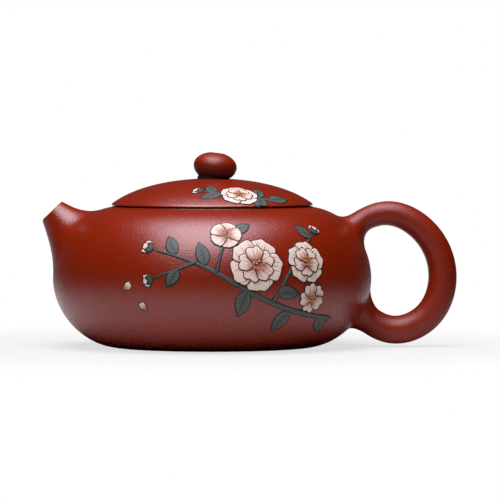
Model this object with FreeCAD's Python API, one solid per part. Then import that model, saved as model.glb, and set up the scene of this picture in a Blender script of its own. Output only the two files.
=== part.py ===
"""Flat round teapot of unglazed red clay, hand built.

Frame: millimetres, +Z up, origin on the pot's axis in the plane of the foot.
The spout points to -X, the handle to +X, and the decorated front faces -Y.
"""
import FreeCAD
import Part
import math
import os
from FreeCAD import Vector

# Body: the outside is two curves, rim to belly and belly to foot
BELLY_R = 55.85
BELLY_Z = 24.1
RIM_R = 35.4
RIM_Z = 49.35
FOOT_R = 33.0
WALL = 3.0
SHOULDER_ANGLE = 9.2       # fall of the shoulder where it leaves the rim, degrees
SHOULDER_REACH = 0.70      # fullness of the two curves, as shares of their spans
SHOULDER_FULL = 0.39
LOWER_FULL = 0.53
LOWER_REACH = 0.496
SHOULDER_SEAM = 0.28       # where the shoulder disc meets the wall, along its curve
BASE_SEAM = 0.72           # where the wall meets the base disc, along its curve

# Base disc: stands on a flat ring, dished inside it
FOOT_INNER_R = 26.0
DISH_DEPTH = 1.2
BASE_THICK = 3.6

# Mouth ring, let into the shoulder disc
MOUTH_R = 29.6
RING_HEIGHT = 2.4
RING_PROUD = 0.22
RING_ROUND = 0.22

# Lid
LID_R = 35.3
LID_RISE = 9.8             # crown above the rim
LID_CROWN_REACH = 0.47     # fullness of the dome's curve, as shares of its radius
LID_EDGE_REACH = 0.24
LID_EDGE_ANGLE = 37.0      # fall of the dome at its edge, degrees
LID_EDGE = 0.95            # edge of the dome above the rim
LID_EDGE_ROUND = 0.04      # share of the dome's curve rounded off at the edge
LID_THICK = 2.6
LID_SEAT_R = 33.0          # outside this the underside is relieved
LID_RELIEF = 0.3
FLANGE_THICK = 2.5
FLANGE_DEPTH = 8.5
FLANGE_PLAY = 0.4          # round the flange in the mouth
FLANGE_TAPER = 0.5
VENT_R = 1.1

# Knob
KNOB_R = 7.6
KNOB_RISE = 4.95           # ball above its widest line
KNOB_FALL = 5.4            # ball below it, if it were whole
KNOB_CENTRE = 4.3          # widest line above the crown
KNOB_NECK_R = 5.5
KNOB_SHIFT = 0.55          # set off the axis towards the handle
KNOB_LEAN = 7.0            # degrees, top leaning towards the handle
KNOB_DIMPLE_R = 2.4
KNOB_DIMPLE_DEPTH = 0.7

# Spout
LIP_OUT = 0.35             # lip centre beyond the belly
LIP_DROP = 1.55            # lip centre below the rim
LIP_R = 4.8
LIP_CUT = 43.5             # lip line above the horizontal, degrees
LIP_AXIS = 52.0            # spout's direction at the lip above the horizontal, degrees
LIP_TAPER = 21.0           # half angle of the spout at the lip, degrees
LIP_WALL = 1.05
LIP_ROUND = 0.3
SPOUT_ROOT_GAP = 3.2       # from the rim to the top of the spout's root
SPOUT_ROOT_DROP = 0.6      # bottom of the root above the belly's widest line
SPOUT_ROOT_HALF_ANGLE = 17.0
OUTLET_R = 6.2
OUTLET_Z = 37.6
OUTLET_FALL = 35.0         # channel's slope where it meets the wall, degrees

# Strainer dome over the outlet, inside
STRAINER_R = 9.6
STRAINER_THICK = 1.4
STRAINER_HOLE_R = 1.05
STRAINER_ROW_ANGLES = (26.0, 50.0)
STRAINER_ROW_COUNTS = (6, 11)

# Handle: centre line measured from the widest line of the belly
HANDLE_PATH = (
    (-1.0, 21.3),
    (5.9, 22.8),
    (18.1, 17.0),
    (25.0, -0.3),
    (18.9, -14.0),
    (8.4, -18.1),
    (0.4, -15.4),
)
HANDLE_THICK_TOP = 8.0
HANDLE_THICK_SIDE = 9.9
HANDLE_THICK_LOW = 9.6
HANDLE_WIDTH_SHARE = 1.04
HANDLE_TOP_ROOT = (43.0, 33.6)     # radius at the top, height at the bottom
HANDLE_TOP_HALF_ANGLE = 8.6
HANDLE_LOW_ROOT = (21.0, 6.0)      # heights of its top and bottom
HANDLE_LOW_HALF_ANGLE = 7.2

ROOT_SINK = 0.3            # roots are cut a little inside the clay before trimming
RING_POINTS = 16

AXIS = Vector(0, 0, 1)
ORIGIN = Vector(0, 0, 0)


def rz(r, z):
    return Vector(r, 0, z)


def bezier(*poles):
    curve = Part.BezierCurve()
    curve.setPoles(list(poles))
    return curve


def segments(*points):
    return [Part.makeLine(a, b) for a, b in zip(points, points[1:])]


def lathe(edges):
    """Solid of revolution about the pot's axis from a closed half section."""
    wire = Part.Wire(Part.__sortEdges__(edges))
    return Part.Face(wire).revolve(ORIGIN, AXIS, 360)


def lathe_polygon(*points):
    return lathe(segments(*points, points[0]))


def unit(v):
    return v * (1.0 / v.Length)


# Profile curves of the body, outside and inside
rim_fall = math.radians(SHOULDER_ANGLE)
shoulder_top = rz(RIM_R, RIM_Z - RING_PROUD)
fall_dir = rz(math.cos(rim_fall), -math.sin(rim_fall))
in_dir = rz(-math.sin(rim_fall), -math.cos(rim_fall))
shoulder_inner_top = shoulder_top + in_dir * WALL


def shoulder_curve(top, inset):
    belly = rz(BELLY_R - inset, BELLY_Z)
    reach = (belly.x - top.x) * SHOULDER_REACH
    full = (top.z - belly.z) * SHOULDER_FULL
    return bezier(top, top + fall_dir * reach, belly + AXIS * full, belly)


def lower_curve(inset, floor_z):
    belly = rz(BELLY_R - inset, BELLY_Z)
    foot = rz(FOOT_R, floor_z)
    full = (BELLY_Z - floor_z) * LOWER_FULL
    reach = (belly.x - FOOT_R) * LOWER_REACH
    return bezier(belly, belly - AXIS * full, foot + rz(reach, 0), foot)


shoulder_out = shoulder_curve(shoulder_top, 0)
shoulder_in = shoulder_curve(shoulder_inner_top, WALL)
lower_out = lower_curve(0, 0)
lower_in = lower_curve(WALL, BASE_THICK)


def curve_at(curve, coordinate, value):
    """Parameter where the curve's x or z has the given value; both run one way along it."""
    low, high = 0.0, 1.0
    rising = getattr(curve.value(1.0), coordinate) > getattr(curve.value(0.0), coordinate)
    for _ in range(60):
        mid = (low + high) / 2
        if (getattr(curve.value(mid), coordinate) < value) == rising:
            low = mid
        else:
            high = mid
    return (low + high) / 2


def on_pot(curve, t, angle):
    """Point of the outside at curve parameter t, turned by an angle from +X."""
    p = curve.value(t)
    return Vector(p.x * math.cos(angle), p.x * math.sin(angle), p.z)


def pot_normal(curve, t, angle):
    d = curve.tangent(t)[0]
    n = unit(rz(d.z, -d.x))
    if n.dot(curve.value(t) - rz(0, BELLY_Z)) < 0:
        n = n * -1
    return Vector(n.x * math.cos(angle), n.x * math.sin(angle), n.z)


# Body pieces
def base_disc():
    foot_in = rz(FOOT_INNER_R, 0)
    crown = rz(0, DISH_DEPTH)
    middle = rz(FOOT_INNER_R * 0.5, DISH_DEPTH * 0.75)
    edges = [
        Part.Arc(crown, middle, foot_in).toShape(),
        Part.makeLine(foot_in, lower_out.value(1)),
        lower_out.toShape(BASE_SEAM, 1),
        Part.makeLine(lower_out.value(BASE_SEAM), lower_in.value(BASE_SEAM)),
        lower_in.toShape(BASE_SEAM, 1),
        Part.makeLine(lower_in.value(1), rz(0, BASE_THICK)),
        Part.makeLine(rz(0, BASE_THICK), crown),
    ]
    return lathe(edges)


def body_wall():
    edges = [
        shoulder_out.toShape(SHOULDER_SEAM, 1),
        lower_out.toShape(0, BASE_SEAM),
        Part.makeLine(lower_out.value(BASE_SEAM), lower_in.value(BASE_SEAM)),
        lower_in.toShape(0, BASE_SEAM),
        shoulder_in.toShape(SHOULDER_SEAM, 1),
        Part.makeLine(shoulder_in.value(SHOULDER_SEAM), shoulder_out.value(SHOULDER_SEAM)),
    ]
    return lathe(edges)


ring_seat_z = RIM_Z - RING_HEIGHT
ledge_drop = (shoulder_inner_top.x - MOUTH_R) * math.tan(rim_fall)


def shoulder_disc():
    mouth_low = rz(MOUTH_R, shoulder_inner_top.z + ledge_drop)
    edges = [
        shoulder_out.toShape(0, SHOULDER_SEAM),
        Part.makeLine(shoulder_in.value(SHOULDER_SEAM), shoulder_out.value(SHOULDER_SEAM)),
        shoulder_in.toShape(0, SHOULDER_SEAM),
    ]
    edges += segments(
        shoulder_inner_top,
        mouth_low,
        rz(MOUTH_R, ring_seat_z),
        rz(RIM_R, ring_seat_z),
        shoulder_top,
    )
    return lathe(edges)


def mouth_ring():
    ring = lathe_polygon(
        rz(MOUTH_R, ring_seat_z),
        rz(RIM_R, ring_seat_z),
        rz(RIM_R, RIM_Z),
        rz(MOUTH_R, RIM_Z),
    )
    top_edges = [e for e in ring.Edges if is_circle_at(e, RIM_Z)]
    return ring.makeFillet(RING_ROUND, top_edges)


def is_circle_at(edge, z):
    box = edge.BoundBox
    return abs(box.ZMin - z) < 1e-4 and abs(box.ZMax - z) < 1e-4 and box.XLength > 1


def pot_outside():
    """The whole outside of the body as one solid, to trim what is luted on."""
    edges = [shoulder_out.toShape(), lower_out.toShape()]
    edges += segments(
        lower_out.value(1),
        ORIGIN,
        rz(0, RIM_Z),
        rz(RIM_R, RIM_Z),
        shoulder_top,
    )
    return lathe(edges)


def pot_inside():
    """The room inside the clay, up to the mouth."""
    edges = [shoulder_in.toShape(), lower_in.toShape()]
    edges += segments(
        lower_in.value(1),
        rz(0, BASE_THICK),
        rz(0, shoulder_inner_top.z),
        shoulder_inner_top,
    )
    return lathe(edges)


# Rings of points and the flared roots drawn through them
ring_angles = [2 * math.pi * i / RING_POINTS for i in range(RING_POINTS)]


def ring_wire(points):
    curve = Part.BSplineCurve()
    curve.interpolate(points, PeriodicFlag=True)
    return Part.Wire(curve.toShape())


def ellipse_ring(centre, up, a, b):
    """Ring in the plane of up and Y, starting on its upper side."""
    return [centre + up * (a * math.cos(f)) + Vector(0, b * math.sin(f), 0) for f in ring_angles]


def root_ring(curve, t_first, t_last, half_angle, side, size=1.0, sink=0.0):
    """Ring round a luted root on the outside of the pot.

    t_first is the curve parameter at the ring's start, t_last opposite to it, and side is
    the angle of the root about the axis: 0 at the handle, pi at the spout.
    """
    t_mid = (t_first + t_last) / 2
    t_half = (t_first - t_last) / 2 * size
    turn = 1 if side == 0 else -1
    points = []
    for f in ring_angles:
        t = t_mid + t_half * math.cos(f)
        angle = side + turn * math.radians(half_angle) * size * math.sin(f)
        points.append(on_pot(curve, t, angle) - pot_normal(curve, t, angle) * sink)
    return points


def flare_rings(root, root_inner, ring, ring_dirs, shares, root_pull, ring_pull):
    """Rings between a root on the pot and a ring of the limb, tangent to both."""
    rings = []
    for s in shares:
        h_root = 2 * s ** 3 - 3 * s ** 2 + 1
        h_root_dir = s ** 3 - 2 * s ** 2 + s
        h_ring = 3 * s ** 2 - 2 * s ** 3
        h_ring_dir = s ** 3 - s ** 2
        points = []
        for p, p_in, q, d in zip(root, root_inner, ring, ring_dirs):
            span = (q - p).Length
            along = unit(p_in - p) * (span * root_pull)
            points.append(p * h_root + along * h_root_dir + q * h_ring + d * (span * ring_pull * h_ring_dir))
        rings.append(points)
    return rings


def buried_ring(root, depth):
    """Flat ring inside the clay behind a root, where the limb is closed before trimming."""
    first = root[0]
    last = root[RING_POINTS // 2]
    up = unit(first - last)
    inward = Vector(up.z, 0, -up.x)
    centre = (first + last) * 0.5
    if inward.dot(rz(0, BELLY_Z) - centre) < 0:
        inward = inward * -1
    half_width = max(p.y for p in root)
    return ellipse_ring(centre + inward * depth, up, (first - last).Length / 2, half_width)


# Spout
lip_centre = rz(-(BELLY_R + LIP_OUT), RIM_Z - LIP_DROP)
lip_up = rz(math.cos(math.radians(LIP_CUT)), math.sin(math.radians(LIP_CUT)))
lip_normal = rz(-lip_up.z, lip_up.x)
lip_dir = rz(-math.cos(math.radians(LIP_AXIS)), math.sin(math.radians(LIP_AXIS)))


def spout_body():
    t_top = curve_at(shoulder_out, "x", RIM_R + SPOUT_ROOT_GAP)
    t_low = curve_at(shoulder_out, "z", BELLY_Z + SPOUT_ROOT_DROP)
    root = root_ring(shoulder_out, t_top, t_low, SPOUT_ROOT_HALF_ANGLE, math.pi, sink=ROOT_SINK)
    inner = root_ring(shoulder_out, t_top, t_low, SPOUT_ROOT_HALF_ANGLE, math.pi, 0.9, ROOT_SINK)
    lip = ellipse_ring(lip_centre, lip_up, LIP_R, LIP_R)
    taper = math.radians(LIP_TAPER)
    dirs = []
    for p in lip:
        radial = unit(p - lip_centre)
        dirs.append(unit(lip_dir * math.cos(taper) - radial * math.sin(taper)))
    rows = flare_rings(root, inner, lip, dirs, (0.25, 0.5, 0.75), 1.2, 1.0)
    rings = [buried_ring(root, 5.0), root] + rows + [lip]
    loft = Part.makeLoft([ring_wire(r) for r in rings], True, False)
    return loft.cut(outside)


def spout():
    return spout_body().cut([channel] + lip_cutters())


def lip_cutters():
    """Cones about the lip's axis that take the sharp edges off it, outside and in the bore."""
    depth = LIP_ROUND * 3
    low = lip_centre - lip_normal * depth
    length = depth + LIP_ROUND
    outer = Part.makeCone(LIP_R - LIP_ROUND + depth, LIP_R - LIP_ROUND * 2, length, low, lip_normal)
    ring = Part.makeCylinder(LIP_R * 2, length, low, lip_normal).cut(outer)
    bore_r = LIP_R - LIP_WALL
    countersink = Part.makeCone(bore_r + LIP_ROUND - depth, bore_r + LIP_ROUND * 2, length, low, lip_normal)
    return [ring, countersink]


def circle_wire(centre, normal, radius):
    return Part.Wire(Part.makeCircle(radius, centre, normal))


def spout_channel():
    """The bore from the lip, through the wall, into the pot."""
    fall = math.radians(OUTLET_FALL)
    into = rz(math.cos(fall), -math.sin(fall))
    wall_x = -(shoulder_out.value(curve_at(shoulder_out, "z", OUTLET_Z)).x - WALL / 2)
    outlet = rz(wall_x, OUTLET_Z)
    bore_r = LIP_R - LIP_WALL
    down = lip_dir * -1
    wires = [
        circle_wire(lip_centre + lip_dir * LIP_R, down, bore_r),
        circle_wire(lip_centre + down * (LIP_R * 0.9), down, bore_r * 1.12),
        circle_wire(outlet, unit(down + into), OUTLET_R),
        circle_wire(outlet + into * (WALL * 2), into, OUTLET_R),
    ]
    return Part.makeLoft(wires, True, False), outlet, into


def strainer(outlet, into):
    seat = outlet + unit(into) * (WALL / 2)
    dome = Part.makeSphere(STRAINER_R, seat).cut(Part.makeSphere(STRAINER_R - STRAINER_THICK, seat))
    dome = dome.common(inside)
    side = Vector(0, 1, 0)
    up = into.cross(side)
    holes = [Part.makeCylinder(STRAINER_HOLE_R, STRAINER_R * 2, seat, into)]
    for angle, count in zip(STRAINER_ROW_ANGLES, STRAINER_ROW_COUNTS):
        for i in range(count):
            turn = 2 * math.pi * i / count
            spread = side * math.cos(turn) + up * math.sin(turn)
            lean = math.radians(angle)
            direction = into * math.cos(lean) + spread * math.sin(lean)
            holes.append(Part.makeCylinder(STRAINER_HOLE_R, STRAINER_R * 2, seat, direction))
    return largest_solid(dome.cut(holes))


def largest_solid(shape):
    return max(shape.Solids, key=lambda s: s.Volume)


# Handle
def handle_thickness(share):
    """Thickness along the handle, through the three given ones."""
    rest = 1 - share
    ends = HANDLE_THICK_TOP * rest * (rest - share) + HANDLE_THICK_LOW * share * (share - rest)
    return ends + HANDLE_THICK_SIDE * 4 * share * rest


def handle_body():
    path = Part.BSplineCurve()
    path.interpolate([rz(BELLY_R + x, BELLY_Z + z) for x, z in HANDLE_PATH])
    count = 2 * len(HANDLE_PATH) - 3
    sections = []
    for i in range(count):
        share = i / (count - 1)
        at = path.FirstParameter + share * (path.LastParameter - path.FirstParameter)
        along = unit(path.tangent(at)[0])
        half = handle_thickness(share) / 2
        outward = rz(-along.z, along.x)
        sections.append((ellipse_ring(path.value(at), outward, half, half * HANDLE_WIDTH_SHARE), along))

    t_first = curve_at(shoulder_out, "x", HANDLE_TOP_ROOT[0])
    t_last = curve_at(shoulder_out, "z", HANDLE_TOP_ROOT[1])
    top = (shoulder_out, t_first, t_last, HANDLE_TOP_HALF_ANGLE, 0)
    u_first = curve_at(lower_out, "z", HANDLE_LOW_ROOT[1])
    u_last = curve_at(lower_out, "z", HANDLE_LOW_ROOT[0])
    low = (lower_out, u_first, u_last, HANDLE_LOW_HALF_ANGLE, 0)

    top_root = root_ring(*top, sink=ROOT_SINK)
    top_inner = root_ring(*top, 0.9, ROOT_SINK)
    low_root = root_ring(*low, sink=ROOT_SINK)
    low_inner = root_ring(*low, 0.9, ROOT_SINK)
    first, first_dir = sections[0]
    last, last_dir = sections[-1]
    top_rows = flare_rings(top_root, top_inner, first, [first_dir] * RING_POINTS, (0.35, 0.68), 1.3, 1.2)
    low_rows = flare_rings(low_root, low_inner, last, [last_dir * -1] * RING_POINTS, (0.4, 0.72), 0.9, 0.9)
    rings = [buried_ring(top_root, 3.0), top_root] + top_rows
    rings += [ring for ring, _ in sections]
    rings += low_rows[::-1] + [low_root, buried_ring(low_root, 3.0)]
    loft = Part.makeLoft([ring_wire(r) for r in rings], True, False)
    return loft.cut(outside)


# Lid
edge_fall = math.radians(LID_EDGE_ANGLE)
dome_edge = rz(LID_R, RIM_Z + LID_EDGE)
dome_crown = rz(0, RIM_Z + LID_RISE)
dome_curve = bezier(
    dome_crown,
    dome_crown + rz(LID_R * LID_CROWN_REACH, 0),
    dome_edge + rz(-math.cos(edge_fall), math.sin(edge_fall)) * (LID_R * LID_EDGE_REACH),
    dome_edge,
)


def dome_point(r, below=0.0):
    """Point of the lid's outside at a radius, or so far below it."""
    return dome_curve.value(curve_at(dome_curve, "x", r)) - AXIS * below


flange_r = MOUTH_R - FLANGE_PLAY
hollow_r = flange_r - FLANGE_THICK


def lid_dome():
    low_z = RIM_Z + LID_RELIEF
    bend = 1 - LID_EDGE_ROUND
    start = dome_curve.value(bend)
    nose = rz(LID_R, RIM_Z + (LID_EDGE + LID_RELIEF) / 2)
    tuck = rz(LID_R - (LID_EDGE - LID_RELIEF) * 0.7, low_z)
    heading = dome_curve.tangent(bend)[0]
    corner = start + heading * ((LID_R - start.x) / heading.x)
    hollow = dome_point(hollow_r, LID_THICK)
    hollow_top = dome_crown - AXIS * LID_THICK
    edges = [
        dome_curve.toShape(0, bend),
        bezier(start, corner, nose).toShape(),
        bezier(nose, rz(LID_R, low_z), tuck).toShape(),
        Part.Arc(hollow_top, dome_point(hollow_r / 2, LID_THICK), hollow).toShape(),
        Part.makeLine(hollow_top, dome_crown),
    ]
    edges += segments(
        tuck,
        rz(LID_SEAT_R, low_z),
        rz(LID_SEAT_R, RIM_Z),
        rz(hollow_r, RIM_Z),
        hollow,
    )
    return lathe(edges).cut(vent())


def lid_outside():
    edges = [dome_curve.toShape()]
    edges += segments(dome_edge, rz(0, dome_edge.z), dome_crown)
    return lathe(edges)


def lid_flange():
    low_z = RIM_Z - FLANGE_DEPTH
    return lathe_polygon(
        rz(hollow_r, RIM_Z),
        rz(flange_r, RIM_Z),
        rz(flange_r - FLANGE_TAPER, low_z),
        rz(hollow_r, low_z),
    )


crown = dome_point(KNOB_SHIFT)


def lean(shape):
    shape.rotate(crown, Vector(0, 1, 0), KNOB_LEAN)
    return shape


def vent():
    return lean(Part.makeCylinder(VENT_R, 60, crown - AXIS * 30, AXIS))


def ball_arc(start, end, height):
    """Part of the knob's oval outline, between two angles from its widest line."""
    pull = math.tan((end - start) / 4) * 4 / 3

    def at(f):
        return rz(KNOB_R * math.cos(f), KNOB_CENTRE + height * math.sin(f))

    def along(f):
        return rz(-KNOB_R * math.sin(f), height * math.cos(f)) * pull

    return bezier(at(start), at(start) + along(start), at(end) - along(end), at(end))


def knob():
    """Flattened ball on a neck, turned about its own axis, then leaned and fitted to the crown."""
    lower = ball_arc(-math.acos(KNOB_NECK_R / KNOB_R), 0, KNOB_FALL)
    upper = ball_arc(0, math.acos(KNOB_DIMPLE_R / KNOB_R), KNOB_RISE)
    foot = rz(KNOB_NECK_R, -LID_THICK)
    brim = upper.value(1)
    hole = rz(VENT_R, brim.z - KNOB_DIMPLE_DEPTH)
    edges = [
        lower.toShape(),
        upper.toShape(),
        bezier(brim, (brim + rz(hole.x, brim.z)) * 0.5, hole + rz(0, KNOB_DIMPLE_DEPTH / 2), hole).toShape(),
    ]
    edges += segments(hole, rz(VENT_R, foot.z), foot, lower.value(0))
    shape = lathe(edges)
    shape.translate(crown)
    return largest_solid(lean(shape).cut(lid_outside()))


outside = pot_outside()
inside = pot_inside()
channel, outlet_centre, outlet_dir = spout_channel()

pieces = {
    "base_disc": base_disc(),
    "body_wall": body_wall().cut(channel),
    "shoulder_disc": shoulder_disc().cut(channel),
    "mouth_ring": mouth_ring(),
    "spout": spout(),
    "strainer": strainer(outlet_centre, outlet_dir),
    "handle": handle_body(),
    "lid_dome": lid_dome(),
    "lid_flange": lid_flange(),
    "knob": knob(),
}

os.makedirs("parts", exist_ok=True)
for name, shape in pieces.items():
    solids = shape.Solids
    box = shape.BoundBox
    print(
        f"{name:14s} solids {len(solids)} valid {shape.isValid()} volume {shape.Volume:9.1f}"
        f"  x {box.XMin:6.1f} {box.XMax:6.1f}  y {box.YMin:6.1f} {box.YMax:6.1f}"
        f"  z {box.ZMin:6.1f} {box.ZMax:6.1f}"
    )
    shape.exportStep(f"parts/{name}.step")
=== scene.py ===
"""Dresses the packed clay teapot: burnished red clay, a slip-painted blossom spray and a pale studio."""

import math

import bmesh
import bpy
import numpy as np
from bpy.props import FloatProperty, FloatVectorProperty, IntProperty, PointerProperty
from mathutils import Matrix, Vector
from mathutils.geometry import interpolate_bezier


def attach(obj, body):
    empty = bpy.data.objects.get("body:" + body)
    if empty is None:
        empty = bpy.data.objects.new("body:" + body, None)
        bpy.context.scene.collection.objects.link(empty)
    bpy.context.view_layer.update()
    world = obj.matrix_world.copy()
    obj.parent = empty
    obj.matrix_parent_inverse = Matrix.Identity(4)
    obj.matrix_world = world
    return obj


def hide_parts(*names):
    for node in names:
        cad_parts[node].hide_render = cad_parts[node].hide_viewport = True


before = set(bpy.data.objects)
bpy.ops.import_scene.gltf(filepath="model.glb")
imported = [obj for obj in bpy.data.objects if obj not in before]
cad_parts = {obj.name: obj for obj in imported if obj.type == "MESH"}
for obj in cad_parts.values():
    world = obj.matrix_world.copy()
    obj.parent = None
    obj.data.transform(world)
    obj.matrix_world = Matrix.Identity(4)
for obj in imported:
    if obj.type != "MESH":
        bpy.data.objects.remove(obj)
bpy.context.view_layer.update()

bl_info = {
    "name": "Clay Teapot",
    "version": (1, 0, 0),
    "blender": (4, 5, 0),
    "location": "3D View > Sidebar > Teapot",
    "description": "Builds the visible pieces of a hand-built clay teapot round its packed frame",
    "category": "Add Mesh",
}

MM = 0.001
HAIR = 0.00002  # too small to see
SAME = 1e-6  # points this close are one
TAU = 2 * math.pi
UP = Vector((0, 0, 1))
ACROSS = Vector((0, 1, 0))


def length_of(default_mm, label, about):
    return FloatProperty(
        name=label, description=about, default=default_mm * MM,
        min=0, precision=5, subtype="DISTANCE", unit="LENGTH",
    )


def angle_of(default_deg, label, about):
    return FloatProperty(
        name=label, description=about, default=math.radians(default_deg), subtype="ANGLE", unit="ROTATION"
    )


def share_of(default, label, about):
    return FloatProperty(name=label, description=about, default=default, min=0, max=2, subtype="FACTOR")


def colour_of(rgb, label, about):
    return FloatVectorProperty(
        name=label, description=about, default=(*rgb, 1), size=4, min=0, max=1, subtype="COLOR"
    )


class PotSizes(bpy.types.PropertyGroup):
    """Sizes of the turned body."""

    belly_radius: length_of(55.85, "Belly radius", "Outside radius at the widest line")
    belly_height: length_of(24.1, "Belly height", "Height of the widest line")
    rim_radius: length_of(35.4, "Rim radius", "Outside radius of the mouth ring")
    rim_height: length_of(49.35, "Rim height", "Height of the face that carries the lid")
    rim_proud: length_of(0.22, "Rim step", "Height of the mouth ring above the shoulder")
    ring_height: length_of(2.4, "Ring height", "Height of the mouth ring")
    ring_round: length_of(0.22, "Ring rounding", "Rounding of the mouth ring's upper edges")
    mouth_radius: length_of(29.6, "Mouth radius", "Radius of the mouth")
    foot_radius: length_of(33.0, "Foot radius", "Outside radius of the flat foot ring")
    foot_inner: length_of(26.0, "Foot inner radius", "Where the dish under the base starts")
    dish_depth: length_of(1.2, "Dish depth", "Depth of the dish under the base")
    base_thick: length_of(3.6, "Base thickness", "Thickness of the base disc")
    wall: length_of(3.0, "Wall", "Thickness of the wall")
    shoulder_fall: angle_of(9.2, "Shoulder fall", "Fall of the shoulder where it leaves the rim")
    shoulder_reach: share_of(0.70, "Shoulder reach", "Fullness of the shoulder towards the rim")
    shoulder_full: share_of(0.39, "Shoulder fullness", "Fullness of the shoulder towards the belly")
    lower_full: share_of(0.53, "Lower fullness", "Fullness below the belly")
    lower_reach: share_of(0.496, "Lower reach", "Fullness towards the foot")


class LimbSizes(bpy.types.PropertyGroup):
    """Sizes of the spout and the handle."""

    lip_out: length_of(0.35, "Lip reach", "Lip centre beyond the belly")
    lip_drop: length_of(1.55, "Lip drop", "Lip centre below the rim")
    lip_radius: length_of(4.8, "Lip radius", "Outside radius of the lip")
    lip_wall: length_of(1.05, "Lip wall", "Thickness of the lip")
    lip_cut: angle_of(43.5, "Lip cut", "Slope of the lip's cut")
    lip_axis: angle_of(52.0, "Lip axis", "Slope of the spout at the lip")
    lip_taper: angle_of(21.0, "Lip taper", "Half angle of the spout at the lip")
    root_gap: length_of(3.2, "Spout root gap", "From the rim to the top of the spout's root")
    root_drop: length_of(0.6, "Spout root drop", "Bottom of the root above the belly line")
    root_spread: angle_of(17.0, "Spout root spread", "Half the angle that the root takes round the pot")
    outlet_radius: length_of(6.2, "Outlet radius", "Radius of the outlet through the wall")
    outlet_height: length_of(37.6, "Outlet height", "Height of the outlet")
    outlet_fall: angle_of(35.0, "Outlet fall", "Slope of the channel at the wall")
    handle_top: length_of(8.0, "Handle thickness, top", "Thickness of the handle at its upper root")
    handle_side: length_of(9.9, "Handle thickness, side", "Thickness of the handle half way round")
    handle_low: length_of(9.6, "Handle thickness, low", "Thickness of the handle at its lower root")
    handle_width: share_of(1.04, "Handle width", "Width of the handle as a share of its thickness")
    top_root_radius: length_of(43.0, "Upper root radius", "Radius at the top of the upper root")
    top_root_low: length_of(33.6, "Upper root bottom", "Height at the bottom of the upper root")
    top_root_spread: angle_of(12.5, "Upper root spread", "Half the angle that the upper root takes")
    low_root_top: length_of(21.0, "Lower root top", "Height at the top of the lower root")
    low_root_low: length_of(6.0, "Lower root bottom", "Height at the bottom of the lower root")
    low_root_spread: angle_of(9.5, "Lower root spread", "Half the angle that the lower root takes")


class LidSizes(bpy.types.PropertyGroup):
    """Sizes of the lid and its knob."""

    radius: length_of(35.3, "Lid radius", "Outside radius of the lid")
    rise: length_of(9.8, "Rise", "Crown above the rim")
    crown_reach: share_of(0.47, "Crown reach", "Fullness of the dome towards the crown")
    edge_reach: share_of(0.24, "Edge reach", "Fullness of the dome towards its edge")
    edge_fall: angle_of(37.0, "Edge fall", "Slope of the dome at its edge")
    edge: length_of(0.95, "Edge", "Edge of the dome above the rim")
    relief: length_of(0.45, "Relief", "Gap under the lid's edge")
    seat_radius: length_of(33.0, "Seat radius", "Radius inside which the lid touches the rim")
    hollow_radius: length_of(26.7, "Hollow radius", "Inside radius of the flange")
    thickness: length_of(2.6, "Thickness", "Thickness of the dome")
    vent: length_of(1.1, "Vent", "Radius of the air hole")
    knob_radius: length_of(7.6, "Knob radius", "Radius of the knob's ball")
    knob_rise: length_of(4.95, "Knob rise", "Height of the ball above its widest line")
    knob_fall: length_of(5.4, "Knob fall", "Height of the ball below its widest line")
    knob_centre: length_of(4.3, "Knob centre", "Widest line of the ball above the crown")
    knob_neck: length_of(5.5, "Knob neck", "Radius of the knob's neck")
    knob_shift: length_of(0.55, "Knob shift", "Knob off the axis, towards the handle")
    knob_lean: angle_of(7.0, "Knob lean", "Lean of the knob towards the handle")
    dimple: length_of(2.4, "Dimple", "Radius of the dimple on the knob")
    dimple_depth: length_of(0.7, "Dimple depth", "Depth of the dimple on the knob")


class SlipSizes(bpy.types.PropertyGroup):
    """Sizes of the slip painting."""

    line: length_of(0.36, "Line", "Width of the dark line round each stroke")
    first_lift: length_of(0.06, "First lift", "Height of the lowest stroke above the clay")
    layer: length_of(0.045, "Layer", "Height that each stroke adds")
    body: length_of(0.35, "Body", "Thickness of a stroke, down into the clay")
    grain: IntProperty(
        name="Stroke detail", description="Quads along each side of a stroke", default=20, min=6
    )


class ClayColours(bpy.types.PropertyGroup):
    """Colours of the clay and the slips."""

    clay: colour_of((0.286, 0.0182, 0.0002), "Clay", "Burnished red clay")
    clay_deep: colour_of((0.204, 0.0113, 0.0001), "Deep clay", "Darker grains and clouds in the clay")
    # This colour is painted shade: dark clay mixed in at the lid's seat, the top of the mouth ring and under
    # the knob, where shade falls.
    clay_painted_shade: colour_of((0.010, 0.0014, 0.0004), "Worn clay", "Tea-stained clay in seams and creases")
    petal: colour_of((0.93, 0.80, 0.66), "Petal", "Cream slip of the petals")
    petal_streak: colour_of((0.36, 0.045, 0.025), "Petal streak", "Brick-red strokes on the petals")
    leaf: colour_of((0.075, 0.105, 0.085), "Leaf", "Grey-green slip of the leaves")
    line: colour_of((0.012, 0.016, 0.016), "Line", "Dark lines round the strokes")
    stamen: colour_of((0.80, 0.52, 0.12), "Stamen", "Yellow slip of the stamens")


def pot():
    return bpy.context.scene.teapot_pot


def limb():
    return bpy.context.scene.teapot_limb


def lid():
    return bpy.context.scene.teapot_lid


def slip():
    return bpy.context.scene.teapot_slip


def colours():
    return bpy.context.scene.teapot_colours


# Curves of the pot and the lid, in the half plane of radius and height


def rz(r, z):
    return Vector((r, 0, z))


def shares(steps):
    """Even shares from 0 to 1, both ends included."""
    return [i / steps for i in range(steps + 1)]


def cubic(poles, t):
    a, b, c, d = poles
    s = 1 - t
    return a * s ** 3 + b * (3 * s * s * t) + c * (3 * s * t * t) + d * t ** 3


def cubic_slope(poles, t):
    a, b, c, d = poles
    s = 1 - t
    return (b - a) * (3 * s * s) + (c - b) * (6 * s * t) + (d - c) * (3 * t * t)


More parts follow.
